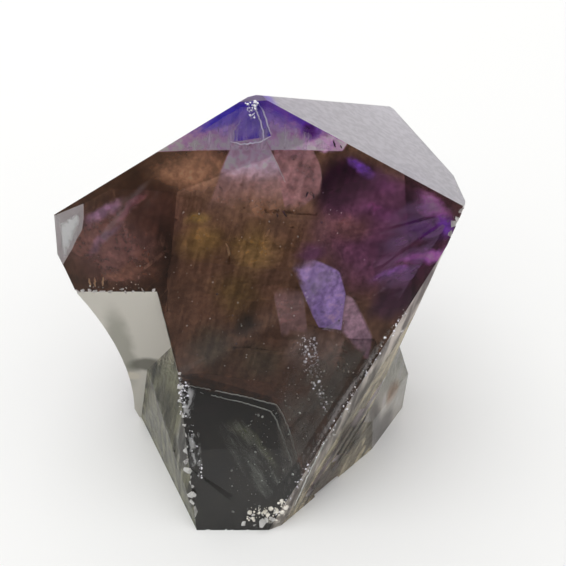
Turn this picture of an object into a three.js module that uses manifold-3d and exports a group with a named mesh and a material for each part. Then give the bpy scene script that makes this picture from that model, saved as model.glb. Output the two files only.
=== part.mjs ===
// An amethyst point, about 55 mm wide, that stands on its flat-cut base: one large crystal, broad at
// the head and narrow at the foot, with a small crystal grown along its right foot.
// Millimetres, +Z up. The origin is on the cut base. X runs along the big front face, which looks
// toward -Y, and the apex is near the Z axis.
import * as THREE from 'three';
import { ConvexGeometry } from 'three/addons/geometries/ConvexGeometry.js';
import { mergeVertices } from 'three/addons/utils/BufferGeometryUtils.js';
import Module from 'manifold-3d';

// Corners of the large crystal, mm
const APEX = [-1.7, 12, 56.4];
const FAR_CORNER = [18.5, 33.2, 41.2];
const RIGHT_FAR_CORNER = [26.4, 14.9, 41.3];
const RIGHT_CORNER = [25.9, 5.2, 43.6];
const RIGHT_EDGE_KINK = [21.5, -0.4, 33.1];
const FRONT_FOOT = [-11.1, -18, 0];
const LEFT_CORNER_X = -28.3;
const APEX_CHIP_Z = 55.6;

// The lower left of the front face is broken away under a level lip
const LIP_END = [-15.2, -0.4, 33.2];
const LIP_LEFT_X = -26;
const FLANK_TOP = [-12.8, -6, 22.7];
const FLANK_FOOT = [-11.1, -17.2, 1.5];
const LEFT_WALL_TOP_Z = 37;
const LEFT_SCOOP = { z: 20, radius: 62, depth: 2.7 };

// The side crystal: its outer upright edge, where its top starts to taper, and its far side
const SIDE_EDGE = [22.3, 4.6, 0];
const SIDE_SHOULDER_Z = 9;
const SIDE_TOP_Z = 22;
const SIDE_BACK_Y = 17;

// Surface detail
const EDGE_BEVEL = 0.4;
const FAR_EDGE_BEVEL = 0.2;
const BASE_STEP = 0.8;
const RIDGE_HEIGHT = 0.35;
const CRUMB_POINTS = 9;
const BLOCK = 70;

const wasm = await Module();
wasm.setup();

let seed = 20;

// A repeatable random number from low to high
function random(low, high) {
  seed = (seed * 1664525 + 1013904223) % 4294967296;
  return low + (high - low) * seed / 4294967296;
}

// A flat face: the compass direction it looks in (0 is +X, anticlockwise seen from above), its slope
// from level (over 90 it looks downward) and a point that it passes through
function face(azimuth, slope, point) {
  const a = THREE.MathUtils.degToRad(azimuth);
  const s = THREE.MathUtils.degToRad(slope);
  const normal = new THREE.Vector3(Math.sin(s) * Math.cos(a), Math.sin(s) * Math.sin(a), Math.cos(s));
  return new THREE.Plane().setFromNormalAndCoplanarPoint(normal, new THREE.Vector3(...point));
}

const outside = (plane) => plane.clone().negate();

// The narrow face that takes the sharp edge off between two faces
function bevel(planeA, planeB, depth) {
  const normal = planeA.normal.clone().add(planeB.normal);
  const length = normal.length();
  const constant = (planeA.constant + planeB.constant) / length + depth;
  return new THREE.Plane(normal.divideScalar(length), constant);
}

// The point where three faces meet, or null where they don't
function corner(a, b, c) {
  const across = new THREE.Vector3().crossVectors(b.normal, c.normal);
  const volume = a.normal.dot(across);
  if (Math.abs(volume) < 1e-6) {
    return null;
  }
  const point = across.multiplyScalar(-a.constant);
  point.addScaledVector(new THREE.Vector3().crossVectors(c.normal, a.normal), -b.constant);
  point.addScaledVector(new THREE.Vector3().crossVectors(a.normal, b.normal), -c.constant);
  return point.divideScalar(volume);
}

function toSolid(geometry) {
  geometry.deleteAttribute('normal');
  geometry.deleteAttribute('uv');
  const merged = mergeVertices(geometry, 1e-4);
  return new wasm.Manifold(new wasm.Mesh({
    numProp: 3,
    vertProperties: new Float32Array(merged.attributes.position.array),
    triVerts: new Uint32Array(merged.index.array),
  }));
}

// The convex solid inside all the faces
function crystal(faces) {
  const points = [];
  for (let i = 0; i < faces.length; i += 1) {
    for (let j = i + 1; j < faces.length; j += 1) {
      for (let k = j + 1; k < faces.length; k += 1) {
        const point = corner(faces[i], faces[j], faces[k]);
        if (point && faces.every((plane) => plane.distanceToPoint(point) < 1e-5)) {
          points.push(point);
        }
      }
    }
  }
  return toSolid(new ConvexGeometry(points));
}

// Six faces of a block far outside the crystal, which close a cutting solid
function blockFaces(size = BLOCK) {
  return [
    face(0, 90, [size, 0, 0]),
    face(90, 90, [0, size, 0]),
    face(180, 90, [-size, 0, 0]),
    face(-90, 90, [0, -size, 0]),
    face(0, 0, [0, 0, size]),
    face(0, 180, [0, 0, -size]),
  ];
}

const FACES = {
  front: face(-90, 62, FRONT_FOOT),
  upperRight: face(22.9, 29.5, APEX),
  upperLeft: face(136.8, 44, APEX),
  upperFar: face(112, 51.5, APEX),
  apexChip: face(-110, 8, [APEX[0], APEX[1], APEX_CHIP_Z]),
  rightFront: face(-47.5, 91.6, [3, -16.2, 3.3]),
  rightBeside: face(-20, 102.5, RIGHT_EDGE_KINK),
  right: face(0, 96, [26.5, 8.8, 42.6]),
  rightFar: face(20.8, 96, RIGHT_FAR_CORNER),
  far: face(80, 118, FAR_CORNER),
  farLeft: face(145, 100, [-20, 24, 28]),
  leftTop: face(180, 90, [LEFT_CORNER_X, 0, 0]),
  left: face(180, 99.5, [LEFT_CORNER_X, 0, LEFT_WALL_TOP_Z]),
  base: face(0, 180, [0, 0, 0]),
};

// The faces that the missing wedge leaves: the wall under the lip, which leans back a little, and the
// narrow flank of the front face in its two directions
const NOTCH = {
  underLip: face(-90, 95, LIP_END),
  upperFlank: face(188, 98.5, LIP_END),
  lowerFlank: face(188, 90.3, FLANK_FOOT),
};

// The rock that is left in the foot of the notch, with its sloping top
const TOE = {
  top: face(221, 64, FLANK_FOOT),
  side: face(208, 82.3, FLANK_FOOT),
};

// Where the saw cut of the base ends, on the right and at the back
const CUT_EDGES = {
  right: face(16, 90, [5.4, -7.1, 0]),
  back: face(68, 90, [-6.8, 14, 0]),
};

function mainCrystal() {
  return crystal([
    ...Object.values(FACES),
    bevel(FACES.front, FACES.rightFront, EDGE_BEVEL),
    bevel(FACES.upperRight, FACES.upperFar, FAR_EDGE_BEVEL),
  ]);
}

// The wedge that is missing at the lower left of the front face
function notch() {
  const toe = crystal([...Object.values(TOE), ...blockFaces()]);
  return crystal([...Object.values(NOTCH).map(outside), ...blockFaces()]).subtract(toe);
}

// The shallow shell-like hollow in the left wall
function leftScoop() {
  const { z, radius, depth } = LEFT_SCOOP;
  const on = FACES.left.projectPoint(new THREE.Vector3(LEFT_CORNER_X, 1, z), new THREE.Vector3());
  const centre = on.addScaledVector(FACES.left.normal, radius - depth);
  const ball = new THREE.IcosahedronGeometry(radius, Math.round(5 + radius / 4));
  ball.rotateX(random(0, 3));
  ball.translate(centre.x, centre.y, centre.z);
  return toSolid(ball);
}

// The small crystal on the right foot, with its own tapering top
function sideCrystal() {
  const shoulder = [SIDE_EDGE[0], SIDE_EDGE[1], SIDE_SHOULDER_Z];
  const back = [12, SIDE_BACK_Y, 0];
  const backShoulder = [12, SIDE_BACK_Y, SIDE_SHOULDER_Z];
  return crystal([
    FACES.rightFront,
    face(-35, 90, SIDE_EDGE),
    face(25, 90, SIDE_EDGE),
    face(85, 90, back),
    face(145, 90, back),
    face(222.5, 74.5, [10.5, -8.7, 0]),
    face(-35, 77, shoulder),
    face(25, 74, shoulder),
    face(85, 70, backShoulder),
    face(0, 0, [0, 0, SIDE_TOP_Z]),
    FACES.base,
  ]);
}

// The saw cut stops at a low step along the right and the back of the foot. The rough rock past it is a
// little higher.
function baseSteps() {
  return Object.values(CUT_EDGES).map((edge) => crystal([
    outside(edge),
    face(0, 1.5, [6, 0, BASE_STEP]),
    ...blockFaces(),
  ]));
}

// A low growth ridge on a face. It starts under the point, runs as `run` does and fades at its ends.
function ridge(plane, point, run, length, width, height) {
  const start = plane.projectPoint(point, new THREE.Vector3());
  const along = run.clone().projectOnPlane(plane.normal).normalize();
  const side = new THREE.Vector3().crossVectors(plane.normal, along);
  const points = [];
  for (const [distance, rise] of [[0, 0.05], [0.1, 1], [0.8, 0.8], [1, 0.05]]) {
    for (const [across, up] of [[-0.5, -0.5], [0.5, -0.5], [0.15, rise], [-0.35, rise]]) {
      points.push(start.clone()
        .addScaledVector(along, distance * length)
        .addScaledVector(side, across * width)
        .addScaledVector(plane.normal, up * height));
    }
  }
  return toSolid(new ConvexGeometry(points));
}

// Growth ridges side by side on a face, from the point `from` toward the point `to`. They end where
// the face does.
function ridges(plane, from, to, count, run, length) {
  const raised = plane.clone();
  raised.constant -= RIDGE_HEIGHT;
  const room = crystal([raised, ...Object.values(FACES).filter((other) => other !== plane)]);
  const start = new THREE.Vector3(...from);
  const end = new THREE.Vector3(...to);
  const spacing = start.distanceTo(end) / count;
  const solids = [];
  for (let i = 0; i < count; i += 1) {
    const point = start.clone().lerp(end, (i + random(0.2, 0.8)) / count);
    point.addScaledVector(run, random(0, 0.3) * length);
    const width = spacing * random(0.7, 1.2);
    const height = RIDGE_HEIGHT * random(0.6, 1);
    solids.push(ridge(plane, point, run, length * random(0.5, 0.7), width, height).intersect(room));
  }
  return solids;
}

function growthRidges() {
  const frontEdge = new THREE.Vector3().crossVectors(FACES.front.normal, FACES.rightFront.normal);
  const level = (plane) => new THREE.Vector3(0, 0, 1).cross(plane.normal).normalize();
  return [
    ...ridges(FACES.rightFront, [4.5, -14, 2], [14, -5, 2], 8, frontEdge, 26),
    ...ridges(FACES.right, [24, 6, 39], [22, 6, 24], 5, level(FACES.right), 8),
    ...ridges(FACES.rightFar, [25, 16, 38], [21, 16, 6], 7, level(FACES.rightFar), 16),
    ...ridges(FACES.far, [12, 30, 36], [12, 14, 4], 7, level(FACES.far), 26),
    ...ridges(FACES.farLeft, [-14, 28, 24], [-14, 26, 5], 5, level(FACES.farLeft), 12),
  ];
}

// A small angular lump of rock
function crumb(centre, size) {
  const points = [];
  for (let i = 0; i < CRUMB_POINTS; i += 1) {
    const point = new THREE.Vector3(random(-1, 1), random(-1, 1), random(-1, 1));
    points.push(point.setLength(size * random(0.7, 1)).add(centre));
  }
  return toSolid(new ConvexGeometry(points));
}

// Lumps strewn along a line, each off it by up to `stray` millimetres
function crumbs(from, to, count, [smallest, largest], stray) {
  const start = new THREE.Vector3(...from);
  const end = new THREE.Vector3(...to);
  const solids = [];
  for (let i = 0; i < count; i += 1) {
    const centre = start.clone().lerp(end, (i + random(0, 1)) / count);
    centre.add(new THREE.Vector3(random(-stray, stray), random(-stray, stray), random(-stray, stray)));
    solids.push(crumb(centre, random(smallest, largest)));
  }
  return solids;
}

// What is chipped off the sharp edges
function chips() {
  return [
    ...crumbs(LIP_END, [LIP_LEFT_X, -0.4, 33.2], 14, [0.35, 0.8], 0.25),
    ...crumbs(FLANK_TOP, FRONT_FOOT, 14, [0.4, 0.9], 0.3),
    ...crumbs(RIGHT_CORNER, [24.2, 3.2, 40], 5, [0.6, 1.3], 0.3),
    ...crumbs(RIGHT_CORNER, RIGHT_FAR_CORNER, 4, [0.4, 0.8], 0.3),
    ...crumbs(RIGHT_EDGE_KINK, [2, -17.4, 1], 12, [0.3, 0.7], 0.3),
    ...crumbs([-10, -18, 0], [1, -18, 0], 6, [0.4, 0.8], 0.3),
  ];
}

// The crust of small lumps along the lower edges of the front face
function crust() {
  return [
    ...crumbs(FLANK_TOP, [-11.3, -17, 2], 18, [0.35, 0.75], 0.35),
    ...crumbs([-4, -17.6, 0.8], [1, -17.2, 1.6], 9, [0.35, 0.8], 0.5),
    ...crumbs([-4, -17.2, 1.5], [2.4, -15.8, 4], 5, [0.25, 0.5], 0.4),
  ];
}

// The crystal without the loose grains that the cuts leave
function largestBody(solid) {
  return solid.decompose().reduce((best, body) => (body.volume() > best.volume() ? body : best));
}

function buildCrystal() {
  let solid = mainCrystal();
  for (const piece of growthRidges()) {
    solid = solid.add(piece);
  }
  for (const hollow of [notch(), leftScoop(), ...chips(), ...baseSteps()]) {
    solid = solid.subtract(hollow);
  }
  for (const piece of [sideCrystal(), ...crust()]) {
    solid = solid.add(piece);
  }
  solid = solid.intersect(crystal([FACES.base, ...blockFaces().slice(0, 5)]));
  return largestBody(solid);
}

function toMesh(solid, name) {
  const { vertProperties, triVerts } = solid.getMesh();
  const geometry = new THREE.BufferGeometry();
  geometry.setAttribute('position', new THREE.BufferAttribute(new Float32Array(vertProperties), 3));
  geometry.setIndex(new THREE.BufferAttribute(new Uint32Array(triVerts), 1));
  const faceted = geometry.toNonIndexed();
  faceted.computeVertexNormals();
  const mesh = new THREE.Mesh(faceted, material);
  mesh.name = name;
  return mesh;
}

const material = new THREE.MeshStandardMaterial({ color: '#6b5361', roughness: 0.12, metalness: 0 });
const group = new THREE.Group();
group.add(toMesh(buildCrystal(), 'amethyst_crystal'));

export default group;
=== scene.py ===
"""Looks of an amethyst point that stands on its cut base.

One clear, flawed crystal: violet at the tip and along the right, smoky brown in the middle, nearly
colourless at the left corner. Sizes and places are in millimetres, in the frame of the solid model
(+Z up, the big front face looks toward -Y), and mm() turns them into metres.
"""

import logging
import math
from dataclasses import dataclass
from enum import Enum
from typing import Optional, Sequence

import bmesh
import bpy
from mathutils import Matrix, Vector, noise
from mathutils.bvhtree import BVHTree
from mathutils.geometry import intersect_point_line


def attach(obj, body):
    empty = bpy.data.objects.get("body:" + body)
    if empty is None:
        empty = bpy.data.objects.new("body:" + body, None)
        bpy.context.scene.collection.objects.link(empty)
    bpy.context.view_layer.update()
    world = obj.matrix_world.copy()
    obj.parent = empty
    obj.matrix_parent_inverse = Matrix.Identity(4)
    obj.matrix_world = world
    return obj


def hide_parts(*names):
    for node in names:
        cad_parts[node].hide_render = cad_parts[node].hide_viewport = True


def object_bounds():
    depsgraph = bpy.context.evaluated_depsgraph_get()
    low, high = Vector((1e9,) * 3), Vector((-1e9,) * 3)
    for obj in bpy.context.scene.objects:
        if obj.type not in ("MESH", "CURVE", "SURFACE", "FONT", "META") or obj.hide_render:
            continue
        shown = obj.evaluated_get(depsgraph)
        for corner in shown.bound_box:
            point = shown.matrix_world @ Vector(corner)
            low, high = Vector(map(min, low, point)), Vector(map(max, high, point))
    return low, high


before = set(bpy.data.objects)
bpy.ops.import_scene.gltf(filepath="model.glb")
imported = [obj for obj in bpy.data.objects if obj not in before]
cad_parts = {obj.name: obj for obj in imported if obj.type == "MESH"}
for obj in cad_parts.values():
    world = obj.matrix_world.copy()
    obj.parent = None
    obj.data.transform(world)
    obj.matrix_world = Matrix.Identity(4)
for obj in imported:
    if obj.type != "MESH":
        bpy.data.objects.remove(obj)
CAD_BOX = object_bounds()

LOG = logging.getLogger("amethyst_point")

NODE = "amethyst_crystal"
BODY = "root"
QUARTZ_IOR = 1.544
# The share of mirroring, where 0.5 is a fresh quartz face and the photo shows duller ones
MIRRORING = 0.15
# A colour field's side with less softness than this is drawn straight, mm
STRAIGHT_BELOW = 0.6
# Corners of the solid closer than this are one, mm
MERGE = 0.002

Pair = tuple[float, float]
Triple = tuple[float, float, float]
Colour = tuple[float, float, float]
Socket = bpy.types.NodeSocket


def mm(x: float, y: float, z: float) -> Vector:
    """A point given in millimetres, in metres."""
    return Vector((x, y, z)) / 1000.0


def facing(azimuth: float, slope: float) -> Vector:
    """The outward normal of a flat face.

    Args:
        azimuth: The compass direction it looks in, degrees, 0 along +X and anticlockwise from above.
        slope: Its slope from level, degrees. Over 90 it looks downward.

    Returns:
        The unit normal.
    """
    a, s = math.radians(azimuth), math.radians(slope)
    return Vector((math.sin(s) * math.cos(a), math.sin(s) * math.sin(a), math.cos(s)))


FRONT_FOOT_Y = -18.0
UP_THE_FRONT = facing(90, 28)
INTO_THE_FRONT = Vector((0.0, 0.8, -0.6))
# The way that growth lines run, and how much of it a pattern leaves out to run along it
GROWTH_RUN = Vector((0.26, 0.45, 0.85)).normalized()
STRETCH = 0.86
# About how many bumps of the relief there are in a metre
RELIEF_SCALE = 600


def behind_front(x: float, up: float, depth: float = 0.0) -> Vector:
    """A point seen through the big front face, in metres.

    Args:
        x: Where it is across, mm.
        up: How far up the face's slope from its foot, mm.
        depth: How far behind the face along the bent line of sight, mm.

    Returns:
        The point.
    """
    return mm(x, FRONT_FOOT_Y, 0) + (UP_THE_FRONT * up + INTO_THE_FRONT * depth) / 1000.0


def sides(corners: Sequence[Pair]) -> list[tuple[Vector, float]]:
    """The sides of a flat outline, which runs anticlockwise.

    Args:
        corners: Its corners, mm.

    Returns:
        For each side the direction that looks inward and how far along it the side lies, mm.
    """
    found = []
    for (x, up), (next_x, next_up) in zip(corners, (*corners[1:], corners[0])):
        inward = Vector((up - next_up, next_x - x, 0.0)).normalized()
        found.append((inward, inward.dot(Vector((x, up, 0.0)))))
    return found


class Tree:
    """A short way to write down a node tree."""

    def __init__(self, tree: bpy.types.NodeTree) -> None:
        """Starts writing in a tree, which keeps the nodes that it has."""
        self.tree = tree

    def node(self, kind: str, inputs: Optional[dict] = None, **settings: object) -> bpy.types.Node:
        """Adds a node.

        Args:
            kind: The node's type name.
            inputs: For each input, by name or number, its value or the output that feeds it.
            settings: The node's own properties.

        Returns:
            The new node.
        """
        made = self.tree.nodes.new(kind)
        for name, value in settings.items():
            setattr(made, name, value)
        for name, value in (inputs or {}).items():
            if isinstance(value, Socket):
                self.tree.links.new(value, made.inputs[name])
            else:
                made.inputs[name].default_value = value
        return made

    def math(self, operation: str, *values: object) -> Socket:
        """The output of a Math node over the values."""
        inputs = dict(enumerate(values))
        return self.node("ShaderNodeMath", inputs, operation=operation).outputs[0]

    def vector(self, operation: str, *values: object) -> Socket:
        """The vector output of a Vector Math node over the values."""
        inputs = dict(enumerate(values))
        return self.node("ShaderNodeVectorMath", inputs, operation=operation).outputs[0]

    def scaled(self, vector: Socket, by: object) -> Socket:
        """A vector made longer or shorter."""
        inputs = {"Vector": vector, "Scale": by}
        return self.node("ShaderNodeVectorMath", inputs, operation="SCALE").outputs[0]

    def length(self, vector: Socket) -> Socket:
        """The length of a vector."""
        made = self.node("ShaderNodeVectorMath", {0: vector}, operation="LENGTH")
        return made.outputs["Value"]

    def dot(self, vector: Socket, along: Vector) -> Socket:
        """How far a vector reaches along a fixed direction."""
        made = self.node("ShaderNodeVectorMath", {0: vector, 1: along}, operation="DOT_PRODUCT")
        return made.outputs["Value"]

    def noise(self, where: Socket, per_mm: float, detail: float) -> bpy.types.Node:
        """A noise texture with about `per_mm` waves a millimetre."""
        inputs = {"Vector": where, "Scale": per_mm * 1000.0, "Detail": detail}
        return self.node("ShaderNodeTexNoise", inputs)

    def ramp(self, value: Socket, start: float, end: float) -> Socket:
        """Turns a value smoothly from 0 at `start` to 1 at `end`."""
        inputs = {"Value": value, "From Min": start, "From Max": end}
        made = self.node("ShaderNodeMapRange", inputs, interpolation_type="SMOOTHSTEP")
        return made.outputs["Result"]

    def on_front(self, where: Socket) -> Socket:
        """Turns a place into x and the way up the front face, in metres."""
        foot = mm(0, FRONT_FOOT_Y, 0).dot(UP_THE_FRONT)
        up = self.math("SUBTRACT", self.dot(where, UP_THE_FRONT), foot)
        inputs = {"X": self.dot(where, Vector((1.0, 0.0, 0.0))), "Y": up}
        return self.node("ShaderNodeCombineXYZ", inputs).outputs[0]

    def fitted(self, where: Socket, centre: Triple, size: Triple, turn: float = 0.0) -> Socket:
        """Coordinates that are 0 at a centre and 1 at a size from it, both in mm, turned in degrees."""
        inputs = {
            "Vector": where,
            "Location": mm(*centre),
            "Rotation": (0.0, 0.0, math.radians(turn)),
            "Scale": mm(*size),
        }
        return self.node("ShaderNodeMapping", inputs, vector_type="TEXTURE").outputs[0]

    def mix(self, share: object, first: object, second: object) -> Socket:
        """Mixes two colours by a share."""
        made = self.node("ShaderNodeMix", data_type="RGBA")
        for place, value in ((0, share), (6, first), (7, second)):
            if isinstance(value, Socket):
                self.tree.links.new(value, made.inputs[place])
            else:
                made.inputs[place].default_value = (*value, 1.0) if place else value
        return made.outputs[2]


def new_material(
    name: str, values: dict[str, object]
) -> tuple[bpy.types.Material, Tree, bpy.types.Node, bpy.types.Node]:
    """Starts a material.

    Args:
        name: The material's name.
        values: The plain values of its Principled node.

    Returns:
        The material, its tree, its Principled node and its output node.
    """
    material = bpy.data.materials.new(name)
    material.use_nodes = True
    nodes = material.node_tree.nodes
    principled = nodes["Principled BSDF"]
    for label, value in values.items():
        principled.inputs[label].default_value = value
    return material, Tree(material.node_tree), principled, nodes["Material Output"]


def placed(name: str, mesh: bpy.types.Mesh, material: bpy.types.Material) -> bpy.types.Object:
    """Puts a mesh with its material in the scene, at the origin."""
    made = bpy.data.objects.new(name, mesh)
    bpy.context.scene.collection.objects.link(made)
    mesh.materials.append(material)
    return made


def to_mesh(bm: bmesh.types.BMesh, name: str) -> bpy.types.Mesh:
    """Turns a finished bmesh into a mesh of that name, and frees it."""
    mesh = bpy.data.meshes.new(name)
    bm.to_mesh(mesh)
    bm.free()
    return mesh


def cut_across(
    bm: bmesh.types.BMesh, normal: Vector, places: Sequence[float], cell: float, lead: float, unit: float = 1
) -> None:
    """Cuts a whole mesh into strips.

    Args:
        bm: The mesh.
        normal: The direction across the strips.
        places: How far along that direction the mesh's corners lie, mm.
        cell: The strips' width, mm.
        lead: The share of a strip that the first cut comes early.
        unit: How many mm the mesh's own unit is.
    """
    for step in range(1, int((max(places) - min(places)) / cell) + 1):
        parts = [*bm.faces, *bm.edges, *bm.verts]
        place = normal * (min(places) + (step - lead) * cell) / unit
        bmesh.ops.bisect_plane(bm, geom=parts, plane_co=place, plane_no=normal)


@dataclass(frozen=True)
class Patch:
    """A soft oval of colour on the front face: across in x and up the slope from its foot, mm.

    The edge is the share of the way to its middle over which it fades in.
    """

    at: Pair
    half: Pair
    tint: Colour
    turn: float = 0.0
    strength: float = 1.0
    edge: float = 0.8

    def share(self, tree: Tree, flat: Socket, moved: Socket) -> Socket:
        """How far the patch covers a place, with a ragged border."""
        place = tree.fitted(moved, (*self.at, 0.0), (*self.half, 1000.0), self.turn)
        cover = tree.ramp(tree.length(place), 1.0, 1.0 - self.edge)
        return tree.math("MULTIPLY", cover, self.strength) if self.strength < 1.0 else cover


@dataclass(frozen=True)
class Facet:
    """A straight-sided field of colour on the front face, with a softness in mm for each side."""

    corners: Sequence[Pair]
    tint: Colour
    soft: Sequence[float]
    strength: float = 1.0

    def share(self, tree: Tree, flat: Socket, moved: Socket) -> Socket:
        """How far the field covers a place. Its soft sides are ragged, its sharp ones straight."""
        cover: object = self.strength
        for (inward, away), soft in zip(sides(self.corners), self.soft):
            across = tree.dot(moved if soft > STRAIGHT_BELOW else flat, inward)
            side = tree.ramp(across, (away - soft / 2) / 1000, (away + soft / 2) / 1000)
            cover = tree.math("MULTIPLY", side, cover)
        return cover


@dataclass(frozen=True)
class StainAndShade:
    """A soft mark of colour on any faces, round a place in space, mm. Most are stains; the dark ones in the
    right walls' groove and low by the floor are painted shade.
    """

    at: Triple
    half: Triple
    wash: Colour
    strength: float = 1.0
    turn: float = 0.0


@dataclass(frozen=True)
class Absorption:
    """How a clear solid takes light away: the colour that it keeps and how fast it does so."""

    colour: Colour
    per_metre: float

    def add_to(self, tree: Tree, output: bpy.types.Node) -> None:
        """Adds the plain volume shader to a material."""
        inputs = {"Color": (*self.colour, 1.0), "Density": self.per_metre}
        volume = tree.node("ShaderNodeVolumeAbsorption", inputs)
        tree.tree.links.new(volume.outputs["Volume"], output.inputs["Volume"])


def attribute(tree: Tree, name: str) -> Socket:
    """A number attribute of the mesh."""
    return tree.node("ShaderNodeAttribute", attribute_name=name).outputs["Fac"]


def ragged(tree: Tree, place: Socket, where: Socket, reach: Triple) -> Socket:
    """Moves a place about by noise, by up to a reach in mm each way."""
    shift = tree.vector("SUBTRACT", tree.noise(where, 0.25, 6.0).outputs["Color"], (0.5,) * 3)
    spread = mm(*reach) * 2
    inputs = {0: shift, 1: spread, 2: place}
    return tree.node("ShaderNodeVectorMath", inputs, operation="MULTIPLY_ADD").outputs[0]


@dataclass(frozen=True)
class CrystalFinish:
    """The finish of the crystal's own surface: clear quartz.

    Attributes of the faces give their roughness, grain, clear share and colour wash.
    """

    bulk: Absorption
    stains_and_shade: Sequence[StainAndShade]

    def material(self) -> bpy.types.Material:
        """Makes the material."""
        values = {"IOR": QUARTZ_IOR, "Specular IOR Level": MIRRORING}
        material, tree, principled, output = new_material("clear_amethyst", values)
        where = tree.node("ShaderNodeTexCoord").outputs["Object"]
        links = material.node_tree.links
        links.new(self._colour(tree, where), principled.inputs["Base Color"])
        links.new(attribute(tree, "roughness"), principled.inputs["Roughness"])
        links.new(attribute(tree, "clear"), principled.inputs["Transmission Weight"])
        links.new(self._normal(tree, where), principled.inputs["Normal"])
        self.bulk.add_to(tree, output)
        return material

    def _colour(self, tree: Tree, where: Socket) -> Socket:
        """The wash of each face with its stains and its patches of painted shade."""
        wash: object = tree.node("ShaderNodeAttribute", attribute_name="wash").outputs["Color"]
        moved = ragged(tree, where, where, (1.2, 1.2, 1.2))
        for mark in self.stains_and_shade:
            place = tree.length(tree.fitted(moved, mark.at, mark.half, mark.turn))
            cover = tree.math("MULTIPLY", tree.ramp(place, 1.0, 0.4), mark.strength)
            wash = tree.mix(cover, wash, mark.wash)
        # Stripes about a millimetre wide, which run with the growth
        along = tree.math("MULTIPLY", tree.dot(where, GROWTH_RUN), STRETCH)
        drawn = tree.vector("SUBTRACT", where, tree.scaled(tuple(GROWTH_RUN), along))
        stripes = tree.ramp(tree.noise(drawn, 1.1, 4.0).outputs["Fac"], 0.35, 0.65)
        # A pale stripe is a little lighter than the wash, a dark one more than that darker
        dim = tree.math("MULTIPLY", tree.math("SUBTRACT", 0.6, stripes), attribute(tree, "streak"))
        light = tree.math("POWER", tree.math("SUBTRACT", 1.0, dim), 2.0)
        return tree.vector("MINIMUM", tree.scaled(wash, light), (1.0, 1.0, 1.0))

    @staticmethod
    def _normal(tree: Tree, where: Socket) -> Socket:
        """Fine unevenness, as strong as the faces' grain."""
        # Bumps under a millimetre wide, 0.4 mm high at a strength of 1
        height = tree.noise(where, 1.4, 6.0).outputs["Fac"]
        inputs = {"Strength": attribute(tree, "grain"), "Distance": 0.0004, "Height": height}
        return tree.node("ShaderNodeBump", inputs).outputs["Normal"]


@dataclass(frozen=True)
class LayerFinish:
    """The colour that lies behind the front face: patches over a ground, clouded and mottled. At the foot
    the patches are painted shade, the shaded base as the front face mirrors it from inside.

    A tint is the share of the light that comes through, before the gain. The waver is how ragged soft
    borders are, mm, the haze how much of the layer scatters light instead of letting it through. Clouds
    and mottle are how much the large and the small spots vary.
    """

    ground: Colour
    patches: Sequence[Patch | Facet]
    waver: float = 1.7
    clouds: float = 0.35
    mottle: float = 0.32
    haze: float = 0.45
    gain: float = 1.28

    def material(self) -> bpy.types.Material:
        """Makes the material, which bends no light."""
        values = {"Roughness": 0.0, "IOR": 1.0, "Transmission Weight": 1.0 - self.haze}
        material, tree, principled, _ = new_material("colour_and_shade_layer", values)
        where = tree.node("ShaderNodeTexCoord").outputs["Object"]
        flat = tree.on_front(where)
        moved = ragged(tree, flat, where, (self.waver, self.waver, 0.0))
        tint: object = self.ground
        for patch in self.patches:
            tint = tree.mix(patch.share(tree, flat, moved), tint, patch.tint)
        for per_mm, amount in ((0.3, self.clouds), (1.3, self.mottle)):
            texture = tree.ramp(tree.noise(where, per_mm, 4.0).outputs["Fac"], 0.3, 0.7)
            tint = tree.scaled(tint, tree.math("MULTIPLY_ADD", texture, amount, 1.0 - amount / 2))
        tint = tree.vector("MINIMUM", tree.scaled(tint, self.gain), (1.0, 1.0, 1.0))
        # A refracted ray is tinted by the root of the base colour
        material.node_tree.links.new(tree.vector("MULTIPLY", tint, tint), principled.inputs["Base Color"])
        return material


@dataclass(frozen=True)
class ZoneFinish:
    """The inside of a colour zone, which bends no light and only takes some away."""

    name: str
    inside: Absorption

    def material(self) -> bpy.types.Material:
        """Makes the material."""
        white = (1.0, 1.0, 1.0, 1.0)
        values = {"Base Color": white, "Roughness": 0.0, "IOR": 1.0, "Transmission Weight": 1.0}
        material, tree, _, output = new_material(self.name, values)
        self.inside.add_to(tree, output)
        return material


@dataclass(frozen=True)
class Skin:
    """How a face is finished. The relief is its depth in mm, the streak how striped its colour is."""

    roughness: float
    grain: float
    clear: float
    wash: Colour
    relief: float = 0.0
    streak: float = 0.0


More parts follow.
